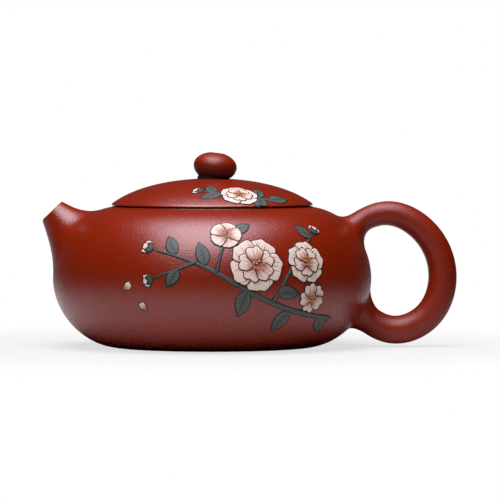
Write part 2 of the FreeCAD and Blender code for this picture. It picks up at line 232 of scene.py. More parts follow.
def shoulder_poles(inset=0.0):
    p = pot()
    fall = rz(math.cos(p.shoulder_fall), -math.sin(p.shoulder_fall))
    inward = rz(-math.sin(p.shoulder_fall), -math.cos(p.shoulder_fall))
    top = rz(p.rim_radius, p.rim_height - p.rim_proud) + inward * inset
    belly = rz(p.belly_radius - inset, p.belly_height)
    reach = (belly.x - top.x) * p.shoulder_reach
    full = (top.z - belly.z) * p.shoulder_full
    return top, top + fall * reach, belly + UP * full, belly


def lower_poles(inset=0.0, floor=0.0):
    p = pot()
    belly = rz(p.belly_radius - inset, p.belly_height)
    foot = rz(p.foot_radius, floor)
    full = (p.belly_height - floor) * p.lower_full
    reach = (belly.x - p.foot_radius) * p.lower_reach
    return belly, belly - UP * full, foot + rz(reach, 0), foot


def dome_poles():
    d = lid()
    base = pot().rim_height
    edge = rz(d.radius, base + d.edge)
    crown = rz(0, base + d.rise)
    back = rz(-math.cos(d.edge_fall), math.sin(d.edge_fall)) * (d.radius * d.edge_reach)
    return crown, crown + rz(d.radius * d.crown_reach, 0), edge + back, edge


def share_at(poles, axis, value):
    """Share along a curve where its radius or height has a value; both run one way along it."""
    low, high = 0.0, 1.0
    rising = poles[3][axis] > poles[0][axis]
    for _ in range(50):
        mid = (low + high) / 2
        if (cubic(poles, mid)[axis] < value) == rising:
            low = mid
        else:
            high = mid
    return (low + high) / 2


def on_pot(poles, t, angle):
    p = cubic(poles, t)
    return Vector((p.x * math.cos(angle), p.x * math.sin(angle), p.z))


# Pieces


def set_shading(bm, sharp=math.radians(38)):
    for face in bm.faces:
        face.smooth = True
    for edge in bm.edges:
        if len(edge.link_faces) == 2:
            edge.smooth = edge.calc_face_angle() < sharp


def finish_piece(bm, name, body, material, nodes=()):
    set_shading(bm)
    mesh = bpy.data.meshes.new(name)
    bm.to_mesh(mesh)
    bm.free()
    piece = bpy.data.objects.new(name, mesh)
    bpy.context.scene.collection.objects.link(piece)
    mesh.materials.append(material)
    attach(piece, body)
    if nodes:
        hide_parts(*nodes)
    return piece


def paint_seat_shade(bm, share, low, high, inner, outer):
    """Paints shade on the faces between two heights and two radii: a share of dark, dull clay where the lid
    and the mouth ring meet.
    """
    painted_shade = bm.faces.layers.float.new("painted_shade")
    for face in bm.faces:
        middle = face.calc_center_median()
        if low < middle.z < high and inner < middle.xy.length < outer:
            face[painted_shade] = share


def paint_foot_shade(bm, share, low, high):
    """Paints shade towards a piece's foot: the clay gets darker and duller towards the crease under it."""
    painted_shade = bm.verts.layers.float.new("painted_shade")
    for vert in bm.verts:
        up = min(1.0, max(0.0, (vert.co.z - low) / (high - low)))
        vert[painted_shade] = share * (1 - up)


def turned(chain, closed=False, steps=160):
    """A chain of points in the half plane, turned about the pot's axis."""
    bm = bmesh.new()
    verts = [bm.verts.new(p) for p in chain]
    edges = [bm.edges.new(pair) for pair in zip(verts, verts[1:])]
    if closed:
        edges.append(bm.edges.new((verts[-1], verts[0])))
    bmesh.ops.spin(
        bm, geom=verts + edges, cent=(0, 0, 0), axis=UP, angle=TAU, steps=steps, use_merge=True
    )
    bmesh.ops.remove_doubles(bm, verts=bm.verts, dist=SAME)
    bmesh.ops.recalc_face_normals(bm, faces=bm.faces)
    return bm


def curve_points(poles, count):
    return interpolate_bezier(*poles, count)


def rings_to_bmesh(rings):
    """Skins closed rings of points in order, each one extruded from the last."""
    bm = bmesh.new()
    count = len(rings[0])
    made = bmesh.ops.create_circle(bm, cap_ends=False, radius=1.0, segments=count)
    loop = made["verts"]
    for vert, point in zip(loop, rings[0]):
        vert.co = point
    first = [bm.edges.get((loop[i], loop[(i + 1) % count])) for i in range(count)]
    edges = first
    for ring in rings[1:]:
        grown = bmesh.ops.extrude_edge_only(bm, edges=edges)["geom"]
        fresh = {g for g in grown if isinstance(g, bmesh.types.BMVert)}
        loop = [
            next(e.other_vert(vert) for e in vert.link_edges if e.other_vert(vert) in fresh) for vert in loop
        ]
        for vert, point in zip(loop, ring):
            vert.co = point
        edges = [bm.edges.get((loop[i], loop[(i + 1) % count])) for i in range(count)]
    return bm, first, edges


def pot_shell():
    """Base, wall and shoulder in one skin, inside and out, with the outlet cut through."""
    p = pot()
    seat = p.rim_height - p.ring_height
    inner = shoulder_poles(p.wall)
    ledge = (inner[0].x - p.mouth_radius) * math.tan(p.shoulder_fall)
    dish = (
        rz(0, p.dish_depth),
        rz(p.foot_inner * 0.4, p.dish_depth),
        rz(p.foot_inner * 0.8, 0.4 * p.dish_depth),
        rz(p.foot_inner, 0),
    )
    chain = curve_points(dish, 12)
    chain += curve_points(lower_poles()[::-1], 60)
    chain += curve_points(shoulder_poles()[::-1], 60)[1:]
    chain += [
        rz(p.rim_radius, seat),
        rz(p.mouth_radius, seat),
        rz(p.mouth_radius, inner[0].z + ledge),
    ]
    chain += curve_points(inner, 32)
    chain += curve_points(lower_poles(p.wall, p.base_thick), 32)[1:]
    chain.append(rz(0, p.base_thick))
    bm = turned(chain)
    open_outlet(bm)
    return bm


def outlet():
    """Centre of the outlet in the wall, and the channel's direction there, into the pot."""
    sizes = limb()
    wall_r = cubic(shoulder_poles(), share_at(shoulder_poles(), 2, sizes.outlet_height)).x - pot().wall / 2
    into = rz(math.cos(sizes.outlet_fall), -math.sin(sizes.outlet_fall))
    return rz(-wall_r, sizes.outlet_height), into


def open_outlet(bm):
    centre, into = outlet()
    radius = limb().outlet_radius
    gone = []
    for face in bm.faces:
        offset = face.calc_center_median() - centre
        if offset.length < 3 * radius and (offset - into * offset.dot(into)).length < radius:
            gone.append(face)
    bmesh.ops.delete(bm, geom=gone, context="FACES")
    rims = [e for e in bm.edges if e.is_boundary]
    bmesh.ops.bridge_loops(bm, edges=rims)
    bmesh.ops.recalc_face_normals(bm, faces=bm.faces)


RING = 72  # points round a limb
RING_ANGLES = [TAU * i / RING for i in range(RING)]
SPOUT_ROWS, LIP_ROWS, BORE_ROWS = 40, 8, 16
HANDLE_ROWS, ROOT_ROWS = 96, 24
ROOT_INSET = 0.97  # size of the ring just inside a root, for the wall's slope there
ROOT_CROWDING = 1.4  # rows lie closer together towards a root


def oval_ring(centre, up, a, b):
    return [centre + up * (a * math.cos(f)) + ACROSS * (b * math.sin(f)) for f in RING_ANGLES]


def root_ring(poles, t_first, t_last, spread, side, size=1.0):
    """Ring on the outside of the pot where a limb is luted on; side is 0 or pi."""
    middle = (t_first + t_last) / 2
    half = (t_first - t_last) / 2 * size
    turn = 1 if side == 0 else -1
    wide = turn * spread * size
    return [on_pot(poles, middle + half * math.cos(f), side + wide * math.sin(f)) for f in RING_ANGLES]


def flare(root, root_inner, ring, headings, rows, root_pull, ring_pull):
    """Rings from a root on the pot to a ring of the limb, smooth with both; the root comes first."""
    rings = []
    for row in range(rows):
        s = (row / rows) ** ROOT_CROWDING
        h_root = 2 * s ** 3 - 3 * s ** 2 + 1
        h_root_dir = s ** 3 - 2 * s ** 2 + s
        h_ring = 3 * s ** 2 - 2 * s ** 3
        h_ring_dir = s ** 3 - s ** 2
        points = []
        for p, p_in, q, d in zip(root, root_inner, ring, headings):
            span = (q - p).length
            along = (p_in - p).normalized() * (span * root_pull)
            point = p * h_root + along * h_root_dir + q * h_ring
            points.append(point + d * (span * ring_pull * h_ring_dir))
        rings.append(points)
    return rings


def spout_rings():
    """From the root out to the lip, over it, and down the channel."""
    p, s = pot(), limb()
    poles = shoulder_poles()
    t_top = share_at(poles, 0, p.rim_radius + s.root_gap)
    t_low = share_at(poles, 2, p.belly_height + s.root_drop)
    root = root_ring(poles, t_top, t_low, s.root_spread, math.pi)
    inner = root_ring(poles, t_top, t_low, s.root_spread, math.pi, ROOT_INSET)
    centre = rz(-(p.belly_radius + s.lip_out), p.rim_height - s.lip_drop)
    up = rz(math.cos(s.lip_cut), math.sin(s.lip_cut))
    normal = rz(-up.z, up.x)
    axis = rz(-math.cos(s.lip_axis), math.sin(s.lip_axis))
    lip = oval_ring(centre, up, s.lip_radius, s.lip_radius)
    headings = []
    for point in lip:
        radial = (point - centre).normalized()
        headings.append((axis * math.cos(s.lip_taper) - radial * math.sin(s.lip_taper)).normalized())
    rings = flare(root, inner, lip, headings, SPOUT_ROWS, 1.2, 1.0)
    half = s.lip_wall / 2
    middle = s.lip_radius - half
    for share in shares(LIP_ROWS):
        a = math.pi * share
        radius = middle + half * math.cos(a)
        rings.append(oval_ring(centre + normal * (half * (math.sin(a) - 1) * 0.9), up, radius, radius))
    rings += bore_rings(centre, axis, s.lip_radius - s.lip_wall)
    return rings


def bore_rings(centre, axis, radius):
    """The channel, from just inside the lip to the far face of the wall."""
    mouth, into = outlet()
    start = centre - axis * (limb().lip_radius * 0.25)
    end = mouth + into * (pot().wall * 0.5)
    pull = (end - start).length * 0.4
    path = (start, start - axis * pull, end - into * pull, end)
    rings = []
    for t in shares(BORE_ROWS):
        along = cubic_slope(path, t).normalized()
        up = rz(-along.z, along.x)
        size = radius + (limb().outlet_radius - radius) * t
        rings.append(oval_ring(cubic(path, t), up, size, size))
    return rings


# Centre line of the handle in millimetres, out from the belly and up from its widest line
HANDLE_PATH = (
    (-1.0, 21.3),
    (5.9, 22.8),
    (18.1, 17.0),
    (25.0, -0.3),
    (18.9, -14.0),
    (8.4, -18.1),
    (0.4, -15.4),
)


def handle_line():
    """Smooth line through the handle's path points, as a function of a share from 0 to 1."""
    points = np.array([(pot().belly_radius + x * MM, pot().belly_height + z * MM) for x, z in HANDLE_PATH])
    steps = np.linalg.norm(np.diff(points, axis=0), axis=1)
    knots = np.concatenate(([0.0], np.cumsum(steps)))
    count = len(points)
    slopes = np.diff(points, axis=0) / steps[:, None]
    matrix = np.eye(count)
    wanted = np.zeros((count, 2))
    wanted[0] = slopes[0] + (slopes[0] - slopes[1]) * steps[0] / (steps[0] + steps[1])
    wanted[-1] = slopes[-1] + (slopes[-1] - slopes[-2]) * steps[-1] / (steps[-1] + steps[-2])
    for i in range(1, count - 1):
        matrix[i, i - 1:i + 2] = steps[i], 2 * (steps[i - 1] + steps[i]), steps[i - 1]
        wanted[i] = 3 * (steps[i] * slopes[i - 1] + steps[i - 1] * slopes[i])
    tangents = np.linalg.solve(matrix, wanted)

    def at(share):
        x = share * knots[-1]
        i = min(int(np.searchsorted(knots, x, side="right")) - 1, count - 2)
        h = steps[i]
        a, b = points[i], points[i + 1]
        pulls = (a, a + tangents[i] * h / 3, b - tangents[i + 1] * h / 3, b)
        poles = [rz(*map(float, pole)) for pole in pulls]
        t = (x - knots[i]) / h
        return cubic(poles, t), cubic_slope(poles, t).normalized()

    return at


def handle_rings():
    """From the upper root round the ear to the lower root."""
    s = limb()
    line = handle_line()
    rings = []
    headings = []
    for share in shares(HANDLE_ROWS):
        centre, along = line(share)
        rest = 1 - share
        ends = s.handle_top * rest * (rest - share) + s.handle_low * share * (share - rest)
        half = ends / 2 + 2 * s.handle_side * share * rest
        rings.append(oval_ring(centre, rz(-along.z, along.x), half, half * s.handle_width))
        headings.append(along)
    upper, under = shoulder_poles(), lower_poles()
    ends = share_at(upper, 0, s.top_root_radius), share_at(upper, 2, s.top_root_low)
    top = (upper, *ends, s.top_root_spread, 0)
    ends = share_at(under, 2, s.low_root_low), share_at(under, 2, s.low_root_top)
    low = (under, *ends, s.low_root_spread, 0)
    out, back = [headings[0]] * RING, [headings[-1] * -1] * RING
    start = flare(root_ring(*top), root_ring(*top, ROOT_INSET), rings[0], out, ROOT_ROWS, 1.3, 1.2)
    end = flare(root_ring(*low), root_ring(*low, ROOT_INSET), rings[-1], back, ROOT_ROWS, 0.9, 0.9)
    return start + rings + end[::-1]


def bend(start, corner, end):
    """Points of a round bend after its start, inside the corner."""
    return [start.lerp(corner, t).lerp(corner.lerp(end, t), t) for t in (0.2, 0.4, 0.6, 0.8, 1.0)]


DOME_STEPS, HOLLOW_STEPS, KNOB_STEPS = 60, 24, 40
EDGE_START = 0.96  # share of the dome's curve where its edge starts to round over


def lid_chain():
    """Section of the lid: over the dome from the air hole, round the edge, and back underneath."""
    d = lid()
    base = pot().rim_height
    poles = dome_poles()
    vent_share = share_at(poles, 0, d.vent)
    hollow_share = share_at(poles, 0, d.hollow_radius)
    drop = UP * d.thickness
    outer = [cubic(poles, vent_share + (EDGE_START - vent_share) * t) for t in shares(DOME_STEPS)]
    heading = cubic_slope(poles, EDGE_START)
    corner = outer[-1] + heading * ((d.radius - outer[-1].x) / heading.x)
    nose = rz(d.radius, base + (d.edge + d.relief) / 2)
    tuck = rz(d.radius - (d.edge - d.relief) * 0.7, base + d.relief)
    rim = bend(outer[-1], corner, nose) + bend(nose, rz(d.radius, base + d.relief), tuck)
    hollow = [hollow_share + (vent_share - hollow_share) * t for t in shares(HOLLOW_STEPS)]
    inner = [cubic(poles, t) - drop for t in hollow]
    return outer + rim + [
        rz(d.seat_radius, base + d.relief),
        rz(d.seat_radius, base),
        rz(d.hollow_radius, base),
    ] + inner


def knob_chain():
    """Section of the knob: round its ball, down the air hole, and up its neck."""
    d = lid()
    low = -math.acos(d.knob_neck / d.knob_radius)
    high = math.acos(d.dimple / d.knob_radius)
    chain = []
    for share in shares(KNOB_STEPS):
        a = low + (high - low) * share
        half = d.knob_rise if a > 0 else d.knob_fall
        chain.append(rz(d.knob_radius * math.cos(a), d.knob_centre + half * math.sin(a)))
    brim = chain[-1]
    hole = rz(d.vent, brim.z - d.dimple_depth)
    across = (brim + rz(hole.x, brim.z)) / 2
    chain += interpolate_bezier(brim, across, hole + UP * (d.dimple_depth / 2), hole, 8)[1:]
    foot = rz(d.knob_neck * 1.04, 0)
    sunk = -d.thickness * 0.4
    chain += [rz(d.vent, sunk), rz(foot.x, sunk)]
    pulls = rz(d.knob_neck, d.knob_centre * 0.08), rz(d.knob_neck, d.knob_centre * 0.12)
    chain += interpolate_bezier(foot, *pulls, chain[0], 5)[:-1]
    return chain


# Clay and slip finishes


def new_material(name):
    material = bpy.data.materials.new(name)
    material.use_nodes = True
    tree = material.node_tree
    return material, tree, tree.nodes["Principled BSDF"]


def node(tree, kind, **sockets):
    made = tree.nodes.new(kind)
    for key, value in sockets.items():
        made.inputs[key.replace("_", " ")].default_value = value
    return made


def feed(tree, socket, value):
    """Links another socket to this one, or sets a plain value on it."""
    if isinstance(value, bpy.types.NodeSocket):
        tree.links.new(value, socket)
    else:
        socket.default_value = value


def remap(tree, value, kind="LINEAR", **sockets):
    """A socket's value carried from one range to another."""
    made = node(tree, "ShaderNodeMapRange", **sockets)
    made.interpolation_type = kind
    tree.links.new(value, made.inputs["Value"])
    return made.outputs["Result"]


def roughen(tree, shader, height, strength):
    """Bumps a tenth of a millimetre high, at full strength."""
    bump = node(tree, "ShaderNodeBump", Strength=strength, Distance=0.1 * MM)
    tree.links.new(height, bump.inputs["Height"])
    tree.links.new(bump.outputs["Normal"], shader.inputs["Normal"])


def ramp(tree, factor, low_at, high_at):
    """Black up to one level, white from another."""
    made = tree.nodes.new("ShaderNodeValToRGB")
    made.color_ramp.elements[0].position = low_at
    made.color_ramp.elements[1].position = high_at
    tree.links.new(factor, made.inputs["Fac"])
    return made.outputs["Color"]


def mix(tree, factor, a, b):
    made = tree.nodes.new("ShaderNodeMix")
    made.data_type = "RGBA"
    tree.links.new(factor, made.inputs["Factor"])
    feed(tree, made.inputs[6], a)
    feed(tree, made.inputs[7], b)
    return made.outputs[2]


def calc(tree, operation, a, b=None):
    made = tree.nodes.new("ShaderNodeMath")
    made.operation = operation
    feed(tree, made.inputs[0], a)
    if b is not None:
        feed(tree, made.inputs[1], b)
    return made.outputs[0]


def clay_material(name="burnished_red_clay", smooth=0.24, rough=0.325, gloss=0.78):
    """Burnished clay: fine dark and light grains, faint clouds, and a satin polish that varies a little."""
    found = bpy.data.materials.get(name)
    if found:
        return found
    material, tree, shader = new_material(name)
    place = tree.nodes.new("ShaderNodeTexCoord").outputs["Object"]
    clouds = node(tree, "ShaderNodeTexNoise", Scale=38.0, Detail=3.0, Roughness=0.55)
    grains = node(tree, "ShaderNodeTexNoise", Scale=1300.0, Detail=2.0, Roughness=0.6)
    sand = node(tree, "ShaderNodeTexNoise", Scale=2300.0, Detail=1.0)
    specks = node(tree, "ShaderNodeTexVoronoi", Scale=950.0, Randomness=1.0)
    for texture in (clouds, grains, sand, specks):
        tree.links.new(place, texture.inputs["Vector"])
    c = colours()
    body = mix(tree, calc(tree, "MULTIPLY", clouds.outputs["Fac"], 0.55), c.clay, c.clay_deep)
    grain_mask = ramp(tree, grains.outputs["Fac"], 0.42, 0.72)
    grain_share = calc(tree, "MULTIPLY", grain_mask, 0.45)
    body = mix(tree, grain_share, body, c.clay_deep)
    speck_share = calc(tree, "MULTIPLY", calc(tree, "LESS_THAN", specks.outputs["Distance"], 0.12), 0.22)
    pale = [min(1.0, v * 1.9 + 0.004) for v in c.clay[:3]] + [1]
    body = mix(tree, speck_share, body, pale)
    # Painted shade: this attribute darkens the clay towards the painted-shade colour at the lid's seat, the
    # mouth ring's top and the knob's foot, and dulls its polish there.
    painted_shade = tree.nodes.new("ShaderNodeAttribute")
    painted_shade.attribute_name = "painted_shade"
    tree.links.new(mix(tree, painted_shade.outputs["Fac"], body, c.clay_painted_shade), shader.inputs["Base Color"])
    polish = remap(tree, grains.outputs["Fac"], To_Min=smooth, To_Max=rough)
    dull = calc(tree, "MULTIPLY", painted_shade.outputs["Fac"], 0.9)
    tree.links.new(calc(tree, "MAXIMUM", polish, dull), shader.inputs["Roughness"])
    shader.inputs["Specular IOR Level"].default_value = gloss
    roughen(tree, shader, sand.outputs["Fac"], 1.0)
    return material


def rolled_clay_material():
    """The same clay, rolled and smoothed between the fingers, with less polish than the burnished walls."""
    return clay_material("rolled_red_clay", smooth=0.34, rough=0.44, gloss=0.52)


def stroke_coords(tree, lanes=1.0):
    """Lanes counted over all strokes, across each stroke from -1 to 1, and along it from 0 to 1."""
    uv = tree.nodes.new("ShaderNodeUVMap")
    uv.uv_map = "stroke"
    parts = tree.nodes.new("ShaderNodeSeparateXYZ")
    tree.links.new(uv.outputs["UV"], parts.inputs["Vector"])
    lane = calc(tree, "MULTIPLY", parts.outputs["X"], lanes)
    place = calc(tree, "FRACT", parts.outputs["X"])
    across = calc(tree, "SUBTRACT", calc(tree, "MULTIPLY", place, 2.0), 1.0)
    return lane, across, parts.outputs["Y"]


def slip_finish(tree, shader, roughness):
    """Dull, grainy face of fired slip; gives the grain back."""
    place = tree.nodes.new("ShaderNodeTexCoord").outputs["Object"]
    grain = node(tree, "ShaderNodeTexNoise", Scale=1500.0, Detail=2.0)
    tree.links.new(place, grain.inputs["Vector"])
    polish = remap(tree, grain.outputs["Fac"], To_Min=roughness - 0.05, To_Max=roughness + 0.07)
    tree.links.new(polish, shader.inputs["Roughness"])
    roughen(tree, shader, grain.outputs["Fac"], 0.2)
    return grain.outputs["Fac"]


def petal_material():
    """Cream slip, brushed with brick-red hairlines of uneven length that start at the foot of the petal."""
    found = bpy.data.materials.get("petal_slip")
    if found:
        return found
    material, tree, shader = new_material("petal_slip")
    lane, _, along = stroke_coords(tree, 12.0)
    c = colours()
    chance = node(tree, "ShaderNodeTexWhiteNoise")
    chance.noise_dimensions = "1D"
    tree.links.new(calc(tree, "FLOOR", lane), chance.inputs["W"])
    reach = remap(tree, chance.outputs["Value"], To_Min=0.62, To_Max=1.12)
    left = calc(tree, "SUBTRACT", 1.0, calc(tree, "DIVIDE", along, reach))
    off = calc(tree, "ABSOLUTE", calc(tree, "SUBTRACT", calc(tree, "FRACT", lane), 0.5))
    over = calc(tree, "SUBTRACT", calc(tree, "MULTIPLY", left, 0.78), off)
    brushed = ramp(tree, over, 0.0, 0.12)
    blush = remap(tree, along, From_Min=0.0, From_Max=0.5, To_Min=0.55, To_Max=0.0)
    share = calc(tree, "MAXIMUM", calc(tree, "MULTIPLY", brushed, 0.9), blush)
    grain = slip_finish(tree, shader, 0.5)
    cream = mix(tree, calc(tree, "MULTIPLY", grain, 0.25), c.petal, (0.78, 0.52, 0.38, 1))
    tree.links.new(mix(tree, share, cream, c.petal_streak), shader.inputs["Base Color"])
    return material


def leaf_material():
    """Grey-green slip with a dark midrib, fine side veins and paler edges."""
    found = bpy.data.materials.get("leaf_slip")
    if found:
        return found
    material, tree, shader = new_material("leaf_slip")
    _, across, along = stroke_coords(tree)
    c = colours()
    side = calc(tree, "ABSOLUTE", across)
    midrib = calc(tree, "LESS_THAN", side, 0.07)
    slant = calc(tree, "SUBTRACT", calc(tree, "MULTIPLY", along, 5.0), calc(tree, "MULTIPLY", side, 1.1))
    comb = calc(tree, "FRACT", slant)
    veins = calc(tree, "LESS_THAN", comb, 0.16)
    mask = calc(tree, "MAXIMUM", midrib, calc(tree, "MULTIPLY", veins, 0.8))
    grain = slip_finish(tree, shader, 0.5)
    pale = [min(1.0, v * 1.9 + 0.01) for v in c.leaf[:3]] + [1]
    blade = mix(tree, calc(tree, "MULTIPLY", side, 0.55), c.leaf, pale)
    blade = mix(tree, calc(tree, "MULTIPLY", grain, 0.3), blade, c.line)
    tree.links.new(mix(tree, mask, blade, c.line), shader.inputs["Base Color"])
    return material


def plain_slip(name, colour, roughness):
    """Slip of one colour, clouded by its grain."""
    found = bpy.data.materials.get(name)
    if found:
        return found
    material, tree, shader = new_material(name)
    grain = slip_finish(tree, shader, roughness)
    dark = [v * 0.55 for v in colour[:3]] + [1]
    clouded = mix(tree, calc(tree, "MULTIPLY", grain, 0.35), colour, dark)
    tree.links.new(clouded, shader.inputs["Base Color"])
    return material


# Slip painting: strokes are grids laid on the clay

CROWN = 0.014 * MM  # middle of a stroke above its edge
PETAL_SIZES = (1.0, 0.66)  # outer and inner ring of a blossom
TUFT_SIZES = (0.34, 0.27)  # stamens of a single and of a double blossom
STAMENS = 9


class Ground:
    """A turned surface that strokes lie on: distance along its curve, and angle from the front."""

    def __init__(self, chain, zero_height):
        points = np.array([(p.x, p.z) for p in chain])
        runs = np.linalg.norm(np.diff(points, axis=0), axis=1)
        self.way = np.concatenate(([0.0], np.cumsum(runs)))
        self.points = points
        self.way -= np.interp(zero_height, points[:, 1], self.way)

    def at(self, way):
        return np.interp(way, self.way, self.points[:, 0]), np.interp(way, self.way, self.points[:, 1])

    def place(self, x, z):
        """Angle and way of the point seen from the front at x across and z up."""
        way = float(np.interp(z, self.points[:, 1], self.way))
        r, _ = self.at(way)
        return math.asin(x / r), way

    def point(self, angle, way, lift):
        step = 0.2 * MM
        r0, z0 = self.at(way - step)
        r1, z1 = self.at(way + step)
        n = Vector((z1 - z0, 0, r0 - r1)).normalized()
        r = (r0 + r1) / 2 + n.x * lift
        z = (z0 + z1) / 2 + n.z * lift
        return Vector((r * math.sin(angle), -r * math.cos(angle), z))


def pot_ground():
    lower = curve_points(lower_poles()[::-1], 120)
    upper = curve_points(shoulder_poles()[::-1], 120)
    return Ground(lower + upper[1:], pot().belly_height)


def lid_ground():
    return Ground(curve_points(dome_poles()[::-1], 160), pot().rim_height + lid().edge)


class Strokes:
    """Gathers the strokes of one slip in one mesh."""

    def __init__(self, ground):
        self.ground = ground
        self.bm = bmesh.new()
        self.uv = self.bm.loops.layers.uv.new("stroke")
        self.count = 0

    def patch(self, spot, shape, lift, along=None, across=None):
        """Lays a grid: shape gives the place on the paper for -1..1 across and 0..1 along."""
        along = along or slip().grain
        across = across or slip().grain
        made = bmesh.ops.create_grid(self.bm, x_segments=across, y_segments=along, size=1.0)
        angle, way = spot
        r, _ = self.ground.at(way)
        seat = {}
        for vert in made["verts"]:
            p, q = vert.co.x, (vert.co.y + 1) / 2
            u, v, rise = shape(p, q)
            seat[vert] = (self.count + 0.5 + 0.499 * p, q)
            vert.co = self.ground.point(angle + u / r, way + v, lift + rise)
        for face in {f for vert in made["verts"] for f in vert.link_faces}:
            for loop in face.loops:
                loop[self.uv].uv = seat[loop.vert]
        bmesh.ops.remove_doubles(self.bm, verts=made["verts"], dist=HAIR / 100)
        self.count += 1

    def finish(self, name, body, material):
        self.bm.normal_update()
        inward = [f for f in self.bm.faces if f.normal.dot(f.calc_center_median()) < 0]
        bmesh.ops.reverse_faces(self.bm, faces=inward)
        piece = finish_piece(self.bm, name, body, material)
        thickness = piece.modifiers.new("stroke_body", "SOLIDIFY")
        thickness.thickness = slip().body
        thickness.offset = -1


def petal_shape(length, width, turn, notch=0.07, grow=0.0):
    """A round petal, narrower to its foot, with a wavy edge and a small notch at its tip."""
    cos, sin = math.cos(turn), math.sin(turn)

    def shape(p, q):
        t = 2 * q - 1
        x = p * math.sqrt(1 - t * t / 2)
        y = t * math.sqrt(1 - p * p / 2)
        far = math.hypot(x, y)
        wave = 1 + 0.035 * far ** 4 * (1 + y) * math.sin(6 * math.atan2(x, y) + 5 * turn)
        dent = notch * length * max(0.0, y) ** 6 * math.exp(-(x / 0.2) ** 2)
        across = (width * (0.72 + 0.28 * y) + grow) * x * wave
        along = length / 2 + (length / 2 + grow) * y * wave - dent
        rise = CROWN * (1 - far * far)
        return across * cos + along * sin, along * cos - across * sin, rise

    return shape


def leaf_shape(length, width, turn, bend, grow):
    """A pointed leaf, broadest below its middle, that may bend to one side."""
    cos, sin = math.cos(turn), math.sin(turn)

    def shape(p, q):
        w = width * math.sin(math.pi * q ** 0.85) ** 0.9 + grow * min(1.0, 6 * q * (1 - q) + 0.15)
        y = (length + 3 * grow) * q - grow
        x = w * p + bend * length * q * q
        return x * cos + y * sin, y * cos - x * sin, CROWN * (1 - p * p)

    return shape


def stem_shape(ground, poles, spot, thick, thin, grow):
    """A tapering stroke along a cubic drawn on the front view, in millimetres."""
    angle0, way0 = spot
    r0, _ = ground.at(way0)
    line = []
    for x, z in poles:
        angle, way = ground.place(x * MM, z * MM)
        line.append(Vector(((angle - angle0) * r0, way - way0, 0)))

    def shape(p, q):
        centre = cubic(line, q)
        heading = cubic_slope(line, q).normalized()
        w = (thick + (thin - thick) * q) * (1 + 0.12 * math.sin(23 * q) * (1 - q))
        w = (w + grow) * math.sqrt(min(1.0, 0.1 + 18 * q, 0.05 + 10 * (1 - q)))
        side = Vector((heading.y, -heading.x, 0)) * (w * p)
        at = centre + side + heading * (grow * (2 * q - 1))
        return at.x, at.y, 0.05 * MM * (1 - p * p)

    return shape


class SlipSet:
    """The slips of one painting, laid in layers from the clay up."""

    def __init__(self, ground):
        self.ground = ground
        self.petals = Strokes(ground)
        self.leaves = Strokes(ground)
        self.stems = Strokes(ground)
        self.lines = Strokes(ground)
        self.dots = bmesh.new()
        self.layer = 0

    def lift(self):
        return slip().first_lift + self.layer * slip().layer

    def stroke(self, slip_strokes, spot, make, **detail):
        """Lays the dark line's patch, then the slip on it."""
        self.lines.patch(spot, make(slip().line), self.lift(), **detail)
        slip_strokes.patch(spot, make(0.0), self.lift() + slip().layer * 0.5, **detail)

    def blossom(self, x, z, radius, turn, layer, rings=1):
        """Rings of five petals, the inner ones smaller and on top, round a tuft of stamens."""
        spot = self.ground.place(x * MM, z * MM)
        for ring in range(rings):
            size = radius * MM * PETAL_SIZES[ring]
            for i, step in enumerate((0, 1, 0, 1, 2)):
                self.layer = layer + ring * 3 + step
                a = turn + TAU * (i + 0.5 * ring) / 5
                self.stroke(
                    self.petals, spot, lambda g, a=a, size=size: petal_shape(size, size * 0.62, a, grow=g)
                )
        self.layer = layer + rings * 3
        self.stamens(spot, radius * MM * TUFT_SIZES[rings - 1])

    def stamens(self, spot, radius):
        """A dot in the middle, and dots at uneven distances round it."""
        angle, way = spot
        r, _ = self.ground.at(way)
        dot = max(0.24 * MM, radius * 0.13)
        places = [(0.0, 0.0)]
        for i in range(STAMENS):
            far = radius * (0.72 + 0.28 * math.cos(2.4 * i))
            f = TAU * i / STAMENS
            places.append((far * math.cos(f), far * math.sin(f)))
        for u, v in places:
            centre = self.ground.point(angle + u / r, way + v, self.lift() + dot * 0.3)
            bmesh.ops.create_icosphere(
                self.dots, subdivisions=2, radius=dot, matrix=Matrix.Translation(centre)
            )

    def bud(self, x, z, radius, turn, layer):
        """Three closed petals held by two sepals."""
        spot = self.ground.place(x * MM, z * MM)
        size = radius * MM
        for i, lean in enumerate((-0.45, 0.45, 0.0)):
            self.layer = layer + i
            self.stroke(
                self.petals, spot, lambda g, a=turn + lean: petal_shape(size * 1.5, size * 0.55, a, 0.02, g)
            )
        for i, lean in enumerate((-0.5, 0.5)):
            self.layer = layer + 3 + 0.5 * i
            self.stroke(
                self.leaves, spot, lambda g, a=turn + lean: leaf_shape(size * 0.9, size * 0.25, a, 0, g)
            )

    def leaf(self, x, z, length, width, turn, bend, layer):
        self.layer = layer
        spot = self.ground.place(x * MM, z * MM)
        self.stroke(self.leaves, spot, lambda g: leaf_shape(length * MM, width * MM, turn, bend, g))

    def stem(self, poles, thick, thin, layer=0):
        self.layer = layer
        spot = self.ground.place(poles[0][0] * MM, poles[0][1] * MM)
        self.stroke(
            self.stems,
            spot,
            lambda g: stem_shape(self.ground, poles, spot, thick * MM, thin * MM, g * 0.7),
            along=40,
            across=4,
        )

    def loose_petal(self, x, z, length, turn):
        self.layer = 0
        spot = self.ground.place(x * MM, z * MM)
        size = length * MM
        self.stroke(self.petals, spot, lambda g: petal_shape(size, size * 0.42, turn, 0.05, g))

    def finish(self, name, body):
        c = colours()
        self.petals.finish(name + "_petals", body, petal_material())
        self.leaves.finish(name + "_leaves", body, leaf_material())
        self.stems.finish(name + "_stems", body, plain_slip("stem_slip", c.leaf, 0.5))
        self.lines.finish(name + "_lines", body, plain_slip("line_slip", c.line, 0.45))
        finish_piece(self.dots, name + "_stamens", body, plain_slip("stamen_slip", c.stamen, 0.45))


# Operators

# Shares of painted shade in the clay: the mouth ring's top, the lid's seat and the knob's foot
RING_SHADE = 0.4
SEAT_SHADE = 0.9
KNOB_SHADE = 0.95


